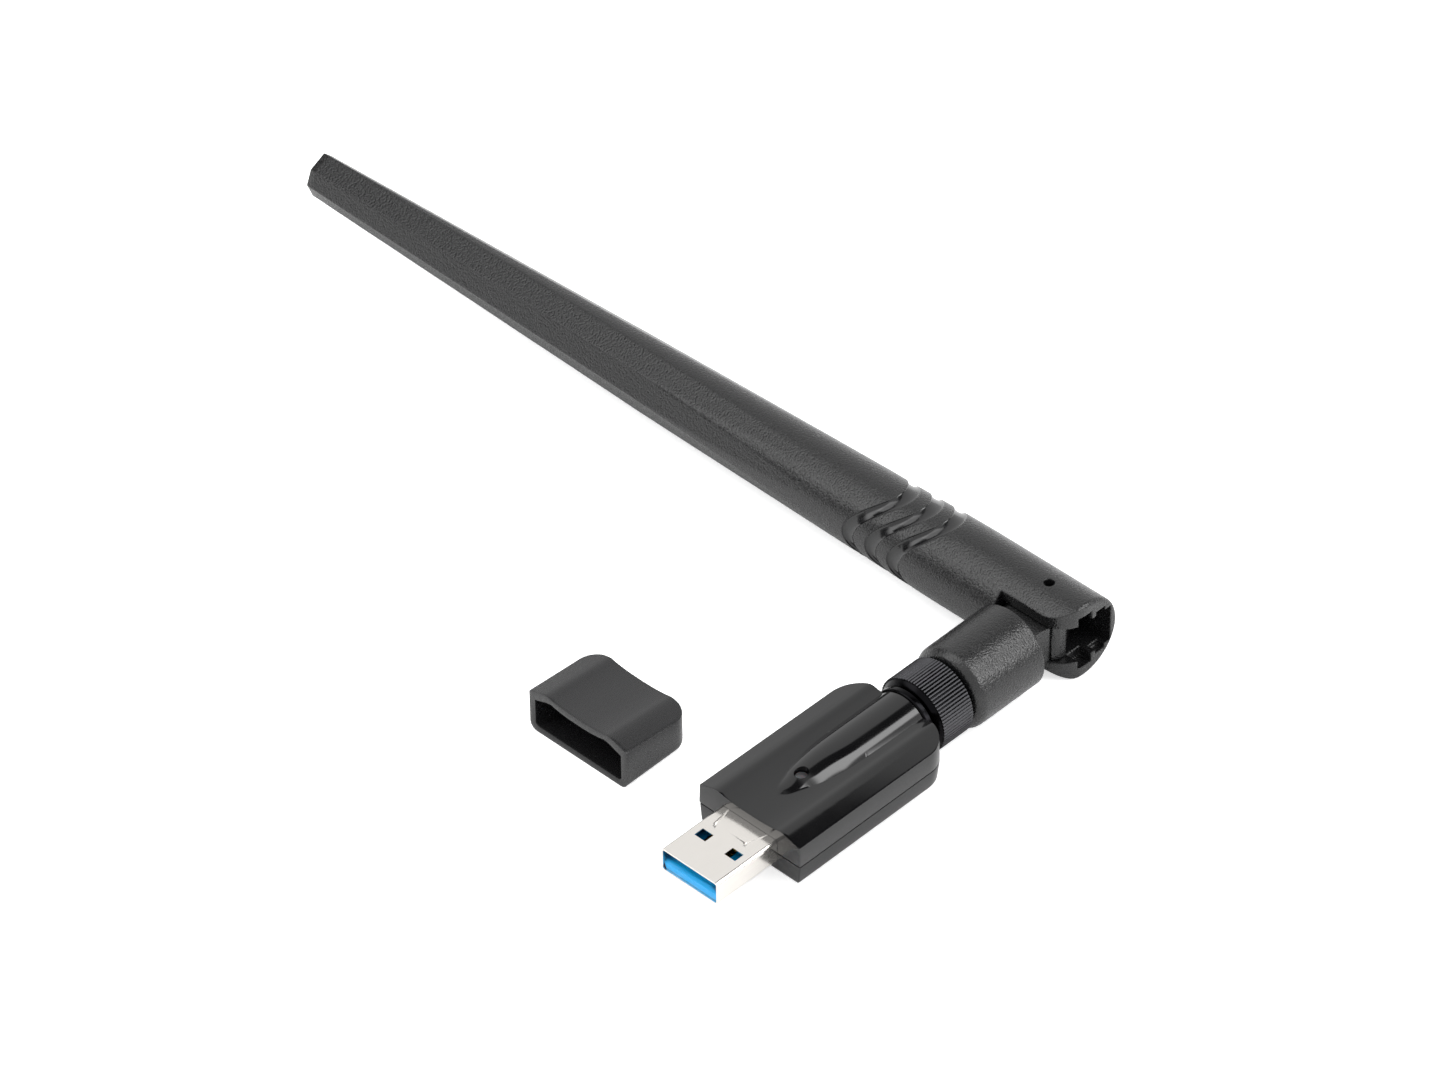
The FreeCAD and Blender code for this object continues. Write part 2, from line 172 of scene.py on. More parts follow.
def cutAway(thing, cutters):
    for cutter in cutters:
        cut = thing.modifiers.new("cut", "BOOLEAN")
        cut.operation = "DIFFERENCE"
        cut.solver = "EXACT"
        cut.object = cutter


def discard(things):
    for thing in things:
        bpy.data.objects.remove(thing, do_unlink=True)


def cutterFrom(bm):
    mesh = bpy.data.meshes.new("cutter")
    bm.to_mesh(mesh)
    bm.free()
    return newObject("cutter", mesh)


def blockCutter(low, high, edge=0.0):
    # a cutting bar; edge rounds the four long edges that run along X
    bm = bmesh.new()
    bmesh.ops.create_cube(bm, size=1.0)
    for vert in bm.verts:
        vert.co = [(a + b) / 2 * mm + c * (b - a) * mm for a, b, c in zip(low, high, vert.co)]
    if edge:
        alongX = [e for e in bm.edges if abs(e.verts[0].co.x - e.verts[1].co.x) > 1e-6]
        bmesh.ops.bevel(bm, geom=alongX, offset=edge * mm, segments=4, profile=0.5,
                        affect="EDGES")
    return cutterFrom(bm)


def rodCutter(centre, radius, axis, length, segments=64):
    # a cutting cylinder, centred and turned along its axis
    bm = bmesh.new()
    bmesh.ops.create_cone(bm, cap_ends=True, segments=segments, radius1=radius * mm,
                          radius2=radius * mm, depth=length * mm)
    turn = Vector((0, 0, 1)).rotation_difference(Vector(axis)).to_matrix().to_4x4()
    bm.transform(Matrix.Translation(Vector(centre) * mm) @ turn)
    return cutterFrom(bm)


def place(piece, node, material):
    # a piece that stands for a CAD node: same body, same slot
    piece.data.materials.clear()
    piece.data.materials.append(material)
    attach(piece, bodyOf(node))
    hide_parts(node)


# camera, floor and light

# place is in millimetres
cameraSet = {"lens": 194.09, "sensor": 36, "clipEnd": 20, "azimuth": -45.42,
             "elevation": 41.22, "roll": -0.87, "place": (-611.085, -609.879, 824.996)}


def makeCamera():
    angles = [math.radians(cameraSet[k]) for k in ("azimuth", "elevation", "roll")]
    azimuth, elevation, roll = angles
    back = Vector((math.sin(azimuth) * math.cos(elevation),
                   -math.cos(azimuth) * math.cos(elevation), math.sin(elevation)))
    right = Vector((math.cos(azimuth), math.sin(azimuth), 0))
    up = back.cross(right)
    across = right * math.cos(roll) + up * math.sin(roll)
    upward = up * math.cos(roll) - right * math.sin(roll)
    data = bpy.data.cameras.new("camera")
    data.lens = cameraSet["lens"]
    data.sensor_width = cameraSet["sensor"]
    data.clip_end = cameraSet["clipEnd"]
    camera = newObject("camera", data)
    turn = Matrix((across, upward, back)).transposed().to_4x4()
    camera.matrix_world = Matrix.Translation(Vector(cameraSet["place"]) * mm) @ turn
    scene.camera = camera


# the surroundings as bands of a unit direction: each band has its low and high edge
lightSet = {
    "sky": 0.95,                            # plain white surroundings
    "slantFrom": 0.536, "gapSlant": 1.3, "panelSlant": 0.6,         # both run aslant in X and Y
    "gapStrength": -0.93, "gapLow": -0.30, "gapHigh": 0.095,        # dark gap overhead
    "panelStrength": 5.0, "panelLow": -0.72, "panelHigh": -0.32,    # narrow panel beside it
    "panelFloor": -0.56,                                            # its near edge, slanted back
    "lowStrength": 6.0, "lowLow": -0.90, "lowHigh": -0.71,          # a second panel lower down
    "boxStrength": 1.8, "boxLow": -0.86, "boxHigh": -0.52,          # soft box at the left
    "frameStrength": -0.93, "frameLow": -0.42, "frameHigh": 0.10,   # its dark frame
    "edgeStrength": -0.93, "edgeLow": -0.15, "edgeHigh": 0.32,      # dark wall low at the left
    "wallStrength": -0.93, "wallLow": -0.15, "wallHigh": 0.30,      # and low at the right
    "floor": "#ffffff", "floorGlow": 0.6,
    "floorReach": 3000,                     # in millimetres
    "keyWatts": 3.2, "keySize": 0.7,        # wide soft panel above, in metres
    "keyAim": (0.06, 0.06, 0.0), "keyFrom": (-0.25, 0.35, 0.9),
}


def softBand(tree, value, low, high, soft):
    # 1 between low and high, 0 outside, with soft edges
    rise = addNode(tree, "ShaderNodeMapRange", {"interpolation_type": "SMOOTHSTEP",
                   "From Min": low - soft, "From Max": low + soft}, {"Value": value})
    fall = addNode(tree, "ShaderNodeMapRange", {"interpolation_type": "SMOOTHSTEP",
                   "From Min": high - soft, "From Max": high + soft, "To Min": 1.0,
                   "To Max": 0.0}, {"Value": value})
    return addNode(tree, "ShaderNodeMath", {"operation": "MULTIPLY"},
                   {0: rise.outputs[0], 1: fall.outputs[0]}).outputs[0]


def product(tree, *factors):
    # node values multiplied together
    total = factors[0]
    for factor in factors[1:]:
        total = addNode(tree, "ShaderNodeMath", {"operation": "MULTIPLY"},
                        {0: total, 1: factor}).outputs[0]
    return total


def makeSky():
    # white surroundings with panels, dark gaps and frames, as in a small light tent
    world = bpy.data.worlds.new("studio")
    world.use_nodes = True
    scene.world = world
    tree = world.node_tree
    tree.nodes.clear()
    far = 2.0    # past the end of every unit direction
    direction = addNode(tree, "ShaderNodeTexCoord").outputs["Generated"]
    parts = addNode(tree, "ShaderNodeSeparateXYZ", links={0: direction})
    x, y, z = [parts.outputs[i] for i in range(3)]

    def slanted(slope):
        # Y, tilted by a slope along X
        aslant = addNode(tree, "ShaderNodeMath", {"operation": "MULTIPLY_ADD", 1: slope,
                         2: -slope * lightSet["slantFrom"]}, {0: x})
        return addNode(tree, "ShaderNodeMath", {"operation": "ADD"},
                       {0: aslant.outputs[0], 1: y}).outputs[0]

    gapSide, panelSide = slanted(lightSet["gapSlant"]), slanted(lightSet["panelSlant"])
    nearEdge = softBand(tree, panelSide, lightSet["gapLow"], far, 0.02)
    farEdge = softBand(tree, slanted(-lightSet["panelSlant"]), lightSet["panelFloor"], far, 0.03)
    front = softBand(tree, x, 0.2, far, 0.1)
    overhead = product(tree, softBand(tree, z, 0.5, far, 0.1), front)
    farSide = softBand(tree, y, 0.3, far, 0.12)
    leftSide = softBand(tree, x, -far, -0.5, 0.1)
    rightSide = product(tree, front, softBand(tree, y, -far, -0.5, 0.1))
    high = softBand(tree, z, 0.3, far, 0.08)
    # name in lightSet, direction that it is measured along, where it counts, softness
    bands = [
        ("gap", gapSide, product(tree, overhead, nearEdge), 0.03),
        ("panel", panelSide, product(tree, overhead, farEdge), 0.02),
        ("low", y, product(tree, softBand(tree, z, 0.2, far, 0.08), front), 0.02),
        ("box", x, product(tree, farSide, high), 0.05),
        ("frame", x, product(tree, farSide, high), 0.05),
        ("edge", z, product(tree, farSide, leftSide), 0.05),
        ("wall", z, rightSide, 0.05),
    ]
    level = None
    for name, value, where, soft in bands:
        # the gap's low edge is nearEdge
        low = -1.5 * far if name == "gap" else lightSet[name + "Low"]
        band = softBand(tree, value, low, lightSet[name + "High"], soft)
        step = addNode(tree, "ShaderNodeMath", {"operation": "MULTIPLY_ADD",
                       1: lightSet[name + "Strength"], 2: lightSet["sky"]},
                       {0: product(tree, band, where)})
        if level is not None:
            tree.links.new(level, step.inputs[2])
        level = step.outputs[0]
    glow = addNode(tree, "ShaderNodeBackground", {"Color": (1, 1, 1, 1)}, {"Strength": level})
    addNode(tree, "ShaderNodeOutputWorld", links={"Surface": glow.outputs[0]})


def makeFloor():
    low = cadBounds[0][2] / mm
    reach = lightSet["floorReach"]
    corners = [(-reach, -reach, low), (reach, -reach, low), (reach, reach, low),
               (-reach, reach, low)]
    floor = newObject("floor", meshFrom("floor", corners, [(0, 1, 2, 3)]))
    material = bpy.data.materials.new("matt paper sweep")
    material.use_nodes = True
    skin = material.node_tree.nodes["Principled BSDF"]
    skin.inputs["Base Color"].default_value = toLinear(lightSet["floor"])
    skin.inputs["Roughness"].default_value = 0.95
    skin.inputs["Specular IOR Level"].default_value = 0.0
    skin.inputs["Emission Color"].default_value = toLinear(lightSet["floor"])
    # the floor is burnt out to white for the camera only, so reflections of it keep their tone
    seen = addNode(material.node_tree, "ShaderNodeLightPath").outputs["Is Camera Ray"]
    glow = addNode(material.node_tree, "ShaderNodeMath", {"operation": "MULTIPLY",
                   1: lightSet["floorGlow"]}, {0: seen})
    material.node_tree.links.new(glow.outputs[0], skin.inputs["Emission Strength"])
    floor.data.materials.append(material)


def makeKeyLight():
    # one wide soft panel above, so that the mast and the barrel keep their form
    data = bpy.data.lights.new("key panel", "AREA")
    data.energy = lightSet["keyWatts"]
    data.shape = "SQUARE"
    data.size = lightSet["keySize"]
    key = newObject("key panel", data)
    target = Vector(lightSet["keyAim"])
    key.location = target + Vector(lightSet["keyFrom"])
    key.rotation_euler = (target - key.location).to_track_quat("-Z", "Y").to_euler()


makeCamera()
makeSky()
makeFloor()
makeKeyLight()
scene.view_settings.view_transform = "Standard"
print("camera, floor and light are in place")


# materials, one function each

def startMaterial(name):
    material = bpy.data.materials.new(name)
    material.use_nodes = True
    tree = material.node_tree
    skin = tree.nodes["Principled BSDF"]
    where = addNode(tree, "ShaderNodeTexCoord").outputs["Object"]
    return material, tree, skin, where


def noiseAt(tree, where, grain, detail=2.0):
    # grain is the size of one speck in millimetres
    return addNode(tree, "ShaderNodeTexNoise", {"Scale": 1 / (grain * mm), "Detail": detail},
                   {"Vector": where})


def varyRoughness(tree, skin, source, low, high):
    spread = addNode(tree, "ShaderNodeMapRange", {"From Min": 0.3, "From Max": 0.7,
                     "To Min": low, "To Max": high}, {"Value": source})
    tree.links.new(spread.outputs[0], skin.inputs["Roughness"])


def varyColour(tree, skin, source, first, second):
    ramp = addNode(tree, "ShaderNodeMix", {"data_type": "RGBA"}, {"Factor": source})
    ramp.inputs[6].default_value = toLinear(first)
    ramp.inputs[7].default_value = toLinear(second)
    tree.links.new(ramp.outputs[2], skin.inputs["Base Color"])


def addBump(tree, skin, source, height, strength=1.0, edge=0.0):
    # edge is the radius that sharp corners seem to have
    bump = addNode(tree, "ShaderNodeBump", {"Distance": height * mm, "Strength": strength},
                   {"Height": source})
    if edge:
        worn = addNode(tree, "ShaderNodeBevel", {"samples": 6, "Radius": edge * mm})
        tree.links.new(worn.outputs[0], bump.inputs["Normal"])
    tree.links.new(bump.outputs[0], skin.inputs["Normal"])


def polishedAbs():
    # ABS from a polished mould: deep black, mirror-like, with a very faint flow waviness
    material, tree, skin, where = startMaterial("polished black ABS")
    cloud = noiseAt(tree, where, 6.0)
    varyRoughness(tree, skin, cloud.outputs["Fac"], 0.08, 0.12)
    varyColour(tree, skin, cloud.outputs["Fac"], "#0b0b0c", "#0f0f10")
    ripple = noiseAt(tree, where, 9.0, 0.0)
    addBump(tree, skin, ripple.outputs["Fac"], 0.02, 0.1)
    skin.inputs["IOR"].default_value = 1.54
    return material


def satinAbs():
    # ABS from a finely blasted mould: even dark grey sheen with a barely visible grain
    material, tree, skin, where = startMaterial("satin black ABS")
    grain = noiseAt(tree, where, 0.22, 3.0)
    varyRoughness(tree, skin, grain.outputs["Fac"], 0.24, 0.32)
    varyColour(tree, skin, grain.outputs["Fac"], "#171718", "#1c1c1d")
    addBump(tree, skin, grain.outputs["Fac"], 0.012, 0.35)
    skin.inputs["IOR"].default_value = 1.54
    return material


def sparkErodedPlastic():
    # polycarbonate blend from a spark-eroded mould: sandy grain, drawn at 0.34 mm so it shows
    material, tree, skin, where = startMaterial("spark-eroded black plastic")
    grain = noiseAt(tree, where, 0.34, 1.0)
    varyRoughness(tree, skin, grain.outputs["Fac"], 0.22, 0.34)
    varyColour(tree, skin, grain.outputs["Fac"], "#0e0e0f", "#19191a")
    addBump(tree, skin, grain.outputs["Fac"], 0.09, 1.0, 0.45)
    skin.inputs["IOR"].default_value = 1.56
    return material


def polishedGroove():
    # the same plastic where the mould was left polished: bright, sharp reflections
    material, tree, skin, where = startMaterial("polished groove plastic")
    cloud = noiseAt(tree, where, 3.0)
    varyRoughness(tree, skin, cloud.outputs["Fac"], 0.10, 0.2)
    varyColour(tree, skin, cloud.outputs["Fac"], "#141415", "#1a1a1b")
    skin.inputs["IOR"].default_value = 1.56
    return material


def nickelPlate():
    # nickel plated steel, lightly brushed along the plug: warm silver, soft mirror
    material, tree, skin, where = startMaterial("nickel plated steel")
    stretch = addNode(tree, "ShaderNodeMapping", {"Scale": (0.06, 1, 1)}, {"Vector": where})
    brush = noiseAt(tree, stretch.outputs[0], 0.25, 3.0)
    varyRoughness(tree, skin, brush.outputs["Fac"], 0.14, 0.24)
    varyColour(tree, skin, brush.outputs["Fac"], "#e6e2dc", "#f0ece7")
    skin.inputs["Metallic"].default_value = 1.0
    return material


def bluePbt():
    # PBT plastic, the bright blue of a USB 3 tongue, slightly silky; with painted shade: deep blue
    # where the shell's roof occludes it
    material, tree, skin, where = startMaterial("blue PBT")
    cloud = noiseAt(tree, where, 1.5)
    varyRoughness(tree, skin, cloud.outputs["Fac"], 0.3, 0.42)
    # painted shade: ambient occlusion darkens the blue where the shell roofs the tongue over
    shellShadeAo = addNode(tree, "ShaderNodeAmbientOcclusion", {"samples": 12, "Distance": 2.6 * mm})
    unshadedShare = addNode(tree, "ShaderNodeMapRange", {"From Min": 0.3, "From Max": 0.62},
                       {"Value": shellShadeAo.outputs["AO"]})
    varyColour(tree, skin, unshadedShare.outputs[0], "#00305f", "#00a6ea")
    return material


def goldPlate():
    # gold flash over nickel on contact springs: warm, nearly mirror bright
    material, tree, skin, where = startMaterial("gold plated spring")
    cloud = noiseAt(tree, where, 0.8)
    varyRoughness(tree, skin, cloud.outputs["Fac"], 0.18, 0.3)
    varyColour(tree, skin, cloud.outputs["Fac"], "#dcae5a", "#e8bf70")
    skin.inputs["Metallic"].default_value = 1.0
    return material


def blackNickel():
    # brass plated in black nickel: dark metal that keeps bright, narrow streaks
    material, tree, skin, where = startMaterial("black nickel plating")
    cloud = noiseAt(tree, where, 1.2)
    varyRoughness(tree, skin, cloud.outputs["Fac"], 0.18, 0.24)
    varyColour(tree, skin, cloud.outputs["Fac"], "#121213", "#18181a")
    skin.inputs["Metallic"].default_value = 1.0
    return material


def crestHighlightNickel():
    # the same plating on the crests of the knurl, a lighter copy as a painted highlight along the
    # ridges
    material, tree, skin, where = startMaterial("black nickel, painted crest highlight")
    cloud = noiseAt(tree, where, 1.2)
    varyRoughness(tree, skin, cloud.outputs["Fac"], 0.16, 0.26)
    varyColour(tree, skin, cloud.outputs["Fac"], "#303032", "#3e3e40")
    skin.inputs["Metallic"].default_value = 1.0
    return material


def bareBrass():
    # turned brass: yellow metal with fine tool rings across the axis
    material, tree, skin, where = startMaterial("turned brass")
    rings = addNode(tree, "ShaderNodeMapping", {"Scale": (1, 0.05, 0.05)}, {"Vector": where})
    lines = noiseAt(tree, rings.outputs[0], 0.12, 2.0)
    varyRoughness(tree, skin, lines.outputs["Fac"], 0.2, 0.35)
    varyColour(tree, skin, lines.outputs["Fac"], "#c9a55a", "#d8b76c")
    skin.inputs["Metallic"].default_value = 1.0
    return material


def tinPlate():
    # stamped tin plate: pale grey metal, slightly clouded
    material, tree, skin, where = startMaterial("stamped tin plate")
    cloud = noiseAt(tree, where, 2.0, 4.0)
    varyRoughness(tree, skin, cloud.outputs["Fac"], 0.25, 0.45)
    varyColour(tree, skin, cloud.outputs["Fac"], "#b9b9b9", "#cccccc")
    skin.inputs["Metallic"].default_value = 1.0
    return material


def pinSteelShadedDark():
    # hinge pins: hardened steel, coloured near black as painted shade, so they stay dark deep in
    # their holes
    material, tree, skin, where = startMaterial("steel pin, darkened as painted shade")
    cloud = noiseAt(tree, where, 0.6)
    varyRoughness(tree, skin, cloud.outputs["Fac"], 0.35, 0.5)
    varyColour(tree, skin, cloud.outputs["Fac"], "#161617", "#1f1f20")
    skin.inputs["Metallic"].default_value = 1.0
    return material


def solderMask():
    # green solder mask over glass cloth: glossy, with the weave at 0.5 mm faintly in it
    material, tree, skin, where = startMaterial("green solder mask")
    turn = 6.28    # the wave texture counts in radians
    weave = addNode(tree, "ShaderNodeTexWave", {"Scale": 1 / (0.5 * mm) / turn}, {"Vector": where})
    varyColour(tree, skin, weave.outputs["Fac"], "#0e4a26", "#12552d")
    skin.inputs["Roughness"].default_value = 0.3
    addBump(tree, skin, weave.outputs["Fac"], 0.01, 0.3)
    return material


def mouldedEpoxy():
    # chip packages: matt black epoxy with a fine sandy skin
    material, tree, skin, where = startMaterial("moulded epoxy")
    grain = noiseAt(tree, where, 0.1, 2.0)
    varyColour(tree, skin, grain.outputs["Fac"], "#191919", "#242424")
    skin.inputs["Roughness"].default_value = 0.6
    addBump(tree, skin, grain.outputs["Fac"], 0.008, 0.5)
    return material


def chipCeramic():
    # fired ceramic of chip capacitors: tan, dull
    material, tree, skin, where = startMaterial("tan ceramic")
    grain = noiseAt(tree, where, 0.2, 2.0)
    varyColour(tree, skin, grain.outputs["Fac"], "#a5835a", "#b8946a")
    skin.inputs["Roughness"].default_value = 0.55
    return material


def frostedLens():
    # smoky diffusing acrylic over the status light: dark grey, slightly cloudy
    material, tree, skin, where = startMaterial("smoky diffusing acrylic")
    cloud = noiseAt(tree, where, 0.7)
    varyColour(tree, skin, cloud.outputs["Fac"], "#3a3a3d", "#4a4a4d")
    skin.inputs["Roughness"].default_value = 0.12
    skin.inputs["Subsurface Weight"].default_value = 0.3
    skin.inputs["Subsurface Scale"].default_value = 0.5 * mm
    skin.inputs["IOR"].default_value = 1.49
    return material


def whitePtfe():
    # PTFE: milky white, waxy
    material, tree, skin, where = startMaterial("white PTFE")
    cloud = noiseAt(tree, where, 1.0)
    varyColour(tree, skin, cloud.outputs["Fac"], "#e9e9e6", "#f3f3f1")
    skin.inputs["Roughness"].default_value = 0.45
    return material


def coaxJacket():
    # extruded PVC jacket: black with a soft shine and faint draw lines
    material, tree, skin, where = startMaterial("extruded black PVC")
    grain = noiseAt(tree, where, 0.3, 2.0)
    varyColour(tree, skin, grain.outputs["Fac"], "#121212", "#1b1b1b")
    skin.inputs["Roughness"].default_value = 0.45
    return material


finish = {
    "housing_black_abs": polishedAbs(), "cap_black_abs": satinAbs(),
    "antenna_black_pc": sparkErodedPlastic(), "plug_nickel": nickelPlate(),
    "insulator_blue": bluePbt(), "contact_gold": goldPlate(), "board_green": solderMask(),
    "chip_black": mouldedEpoxy(), "can_tin": tinPlate(), "ceramic_beige": chipCeramic(),
    "lens_grey": frostedLens(), "nut_black_nickel": blackNickel(),
    "connector_brass": bareBrass(), "dielectric_white": whitePtfe(),
    # the pins' near black is painted shade for their deep holes
    "coax_jacket": coaxJacket(), "pin_steel": pinSteelShadedDark(),
}
grooveFinish = polishedGroove()
# the knurl's crests get a lighter copy of the plating: painted highlight
crestHighlightFinish = crestHighlightNickel()
for nodeName, nodeObject in frame["nodes"].items():
    for materialSlot in nodeObject.material_slots:
        materialSlot.material = finish[slotOf(nodeName)]
print("materials are made")


# housing: lid and base

housingStyle = {
    "spineColumns": 8, "leastSpine": 0.02, "crownColumns": 26, "rows": 64, "cornerRows": 14,
    "edgeRound": 0.16, "sink": 0.5, "shoulderSink": 0.25, "rearCorner": 5.0, "wall": 1.1,
    "windowRadius": 1.2, "windowX": 25.2, "windowY": 0.2, "seam": 0.22,
    "insideHalf": 9.4, "insideTop": 2.9, "plugGap": 0.05, "plugCorner": 0.65,
    "jackHole": 3.15, "jackHoleLength": 12, "frontCorner": 0.25, "frontCornerSteps": 3,
    "footRound": 0.9, "footSteps": 6, "footRun": 0.6, "draft": 0.3,
    "sharpAngle": 32,
}
# half of the lid's end view, from its middle to the ridge and down to the shoulder
crownPoints = ((0.0, 4.0), (3.0, 4.08), (5.4, 4.35), (6.75, 4.6), (7.9, 4.4), (10.65, 3.5))
spinePoints = ((19.6, 3.9), (21.3, 4.14), (23.7, 4.45), (26.1, 4.93), (31.0, 5.5),
               (36.0, 5.65), (48.0, 5.65))


def curveThrough(points, x):
    # a smooth curve through the points; its slope at a point is that of its two neighbours
    x = min(max(x, points[0][0]), points[-1][0])
    i = max(k for k in range(len(points) - 1) if points[k][0] <= x)
    slopes = []
    for k in (i, i + 1):
        before, after = max(k - 1, 0), min(k + 1, len(points) - 1)
        slopes.append((points[after][1] - points[before][1])
                      / (points[after][0] - points[before][0]))
        if k == 0:
            slopes[-1] = 0.0
    (xa, ya), (xb, yb) = points[i], points[i + 1]
    t = (x - xa) / (xb - xa)
    width = xb - xa
    return ((2 * t ** 3 - 3 * t ** 2 + 1) * ya + (t ** 3 - 2 * t ** 2 + t) * width * slopes[0]
            + (3 * t ** 2 - 2 * t ** 3) * yb + (t ** 3 - t ** 2) * width * slopes[1])


def crownHeight(y, sink, shoulderSink):
    # the last stretch, from the ridge's outer foot to the shoulder, is straight
    y = abs(y)
    (ya, za), (yb, zb) = crownPoints[-2:]
    if y <= ya:
        return curveThrough(crownPoints[:-1], y) - sink
    return za - sink + (y - ya) / (yb - ya) * (zb - shoulderSink - za + sink)


def spineHalfWidth(x, sink):
    # where the round spine meets the crown
    radius = curveThrough(spinePoints, x)
    if x <= spinePoints[0][0] or radius <= crownHeight(0, sink, 0):
        return 0.0
    low, high = 0.0, radius
    for _ in range(40):
        middle = (low + high) / 2
        if math.sqrt(radius ** 2 - middle ** 2) > crownHeight(middle, sink, 0):
            low = middle
        else:
            high = middle
    return low


def plugOpening(x0):
    # through the front wall, a little wider than the plug
    low, high = sizeOf("plug_shell")
    gap = housingStyle["plugGap"]
    return blockCutter((x0 - 1, low[1] - gap, low[2] - gap),
                       (x0 + housingStyle["wall"] + 1, high[1] + gap, high[2] + gap),
                       housingStyle["plugCorner"])


def jackOpening(x1):
    return rodCutter((x1, 0, 0), housingStyle["jackHole"], (1, 0, 0),
                     housingStyle["jackHoleLength"])


def makeLid():
    (x0, _, z0), (x1, halfBase, _) = sizeOf("housing_top")
    style = housingStyle
    halfTop = crownPoints[-1][0]
    radius = style["rearCorner"]
    straight = x1 - radius
    xs = [x0 + (straight - x0) * i / style["rows"] for i in range(style["rows"])]
    xs += [straight + radius * math.sin(math.pi / 2 * i / style["cornerRows"])
           for i in range(style["cornerRows"] + 1)]
    rows = []
    for x in xs:
        sink, shoulderSink = [style[k] * (x - x0) / (x1 - x0) for k in ("sink", "shoulderSink")]
        reach = halfTop
        if x > straight:
            reach -= radius - math.sqrt(max(0.0, radius ** 2 - (x - straight) ** 2))
        spine = max(spineHalfWidth(x, sink), style["leastSpine"])
        inner = [spine * i / style["spineColumns"] for i in range(style["spineColumns"] + 1)]
        outer = [spine + (reach - spine) * i / style["crownColumns"]
                 for i in range(1, style["crownColumns"] + 1)]
        half = []
        for y in inner + outer:
            z = crownHeight(y, sink, shoulderSink)
            if y < spine:
                z = max(z, math.sqrt(max(0.0, curveThrough(spinePoints, x) ** 2 - y ** 2)))
            half.append((x, y, z))
        rows.append([(x, -y, z) for x, y, z in reversed(half[1:])] + half)
    count = len(rows[0])
    points = [p for row in rows for p in row]
    faces = gridFaces(len(rows), count, False)
    # the rim of the top face runs down to the parting line, and the underside closes it
    last = (len(rows) - 1) * count
    ring = list(range(count)) + [count * (i + 1) + count - 1 for i in range(len(rows) - 1)]
    ring += [last + count - 2 - j for j in range(count - 1)]
    ring += [count * i for i in range(len(rows) - 2, 0, -1)]
    start = len(points)
    spread = halfBase / halfTop
    points += [(points[k][0], points[k][1] * spread, z0) for k in ring]
    for i, k in enumerate(ring):
        j = (i + 1) % len(ring)
        faces.append((k, ring[j], start + j, start + i))
    faces.append(tuple(start + i for i in range(len(ring))))
    mesh = meshFrom("housingLid", points, faces)
    tidyNormals(mesh)
    lid = newObject("housingLid", mesh)
    roundEdges(lid, style["edgeRound"], 3, 50)
    wall, inside = style["wall"], style["insideHalf"]
    cutters = [
        blockCutter((x0 + wall, -inside, -5), (x1 - wall, inside, style["insideTop"])),
        plugOpening(x0),
        rodCutter((style["windowX"], style["windowY"], 5), style["windowRadius"], (0, 0, 1), 6),
        jackOpening(x1),
    ]
    cutAway(lid, cutters)
    shade(applied(lid), style["sharpAngle"])
    discard(cutters)
    place(lid, "housing_top", finish["housing_black_abs"])


def planRing(x0, x1, half, radius, z):
    # the housing's outline from above, at height z: round rear corners, tight front ones
    front = housingStyle["frontCorner"]
    frontSteps, rearSteps = housingStyle["frontCornerSteps"], housingStyle["cornerRows"]
    ring = []
    # each corner's centre, radius, first angle and steps, counter-clockwise from the rear face
    corners = (
        (x1 - radius, half - radius, radius, 0, rearSteps),
        (x0 + front, half - front, front, 90, frontSteps),
        (x0 + front, front - half, front, 180, frontSteps),
        (x1 - radius, radius - half, radius, 270, rearSteps),
    )
    for cx, cy, r, start, steps in corners:
        for i in range(steps + 1):
            a = math.radians(start + 90 * i / steps)
            ring.append((cx + r * math.cos(a), cy + r * math.sin(a), z))
    return ring


def makeBase():
    style = housingStyle
    (x0, _, z0), (x1, half, _) = sizeOf("housing_bottom")
    z1 = sizeOf("housing_top")[0][2] - style["seam"]
    foot, draft, steps = style["footRound"], style["draft"], style["footSteps"]
    # height, inset at the sides and rear, inset at the front
    levels = [(z1, 0.0, 0.0), (z0 + foot, draft, 0.0)]
    for i in range(1, steps + 1):
        a = math.pi / 2 * i / steps
        inset = foot * (1 - math.cos(a))
        levels.append((z0 + foot * (1 - math.sin(a)), draft + inset, inset * style["footRun"]))
    rings = [planRing(x0 + front, x1 - inset, half - inset, style["rearCorner"] - inset, z)
             for z, inset, front in levels]
    count = len(rings[0])
    points = [p for ring in rings for p in ring]
    faces = gridFaces(len(rings), count, True)
    faces.append(tuple(range(count)))
    faces.append(tuple((len(rings) - 1) * count + i for i in range(count)))
    mesh = meshFrom("housingBase", points, faces)
    tidyNormals(mesh)
    base = newObject("housingBase", mesh)
    roundEdges(base, style["edgeRound"], 2, 60)
    wall, inside = style["wall"], style["insideHalf"]
    cutters = [
        blockCutter((x0 + wall, -inside, z0 + wall), (x1 - wall, inside, 5)),
        plugOpening(x0),
        jackOpening(x1),
    ]
    cutAway(base, cutters)
    shade(applied(base), style["sharpAngle"])
    discard(cutters)
    place(base, "housing_bottom", finish["housing_black_abs"])


makeLid()
makeBase()
print("housing is made")


# loose cap of the plug

capStyle = {
    "sink": 1.1, "shoulderShare": 0.8, "rise": 0.25, "cavitySink": 0.35, "wall": 1.25,
    "corner": 3.0, "cornerRows": 10, "cavityCorner": 2.0, "footRound": 1.5, "footShrink": 0.6,
    "footSteps": 6, "topSteps": 20, "rows": 24, "sideGap": 0.05, "edgeRound": 0.14,
    "fullReach": 9.0,    # sections wider than this lie before the rounded end
}


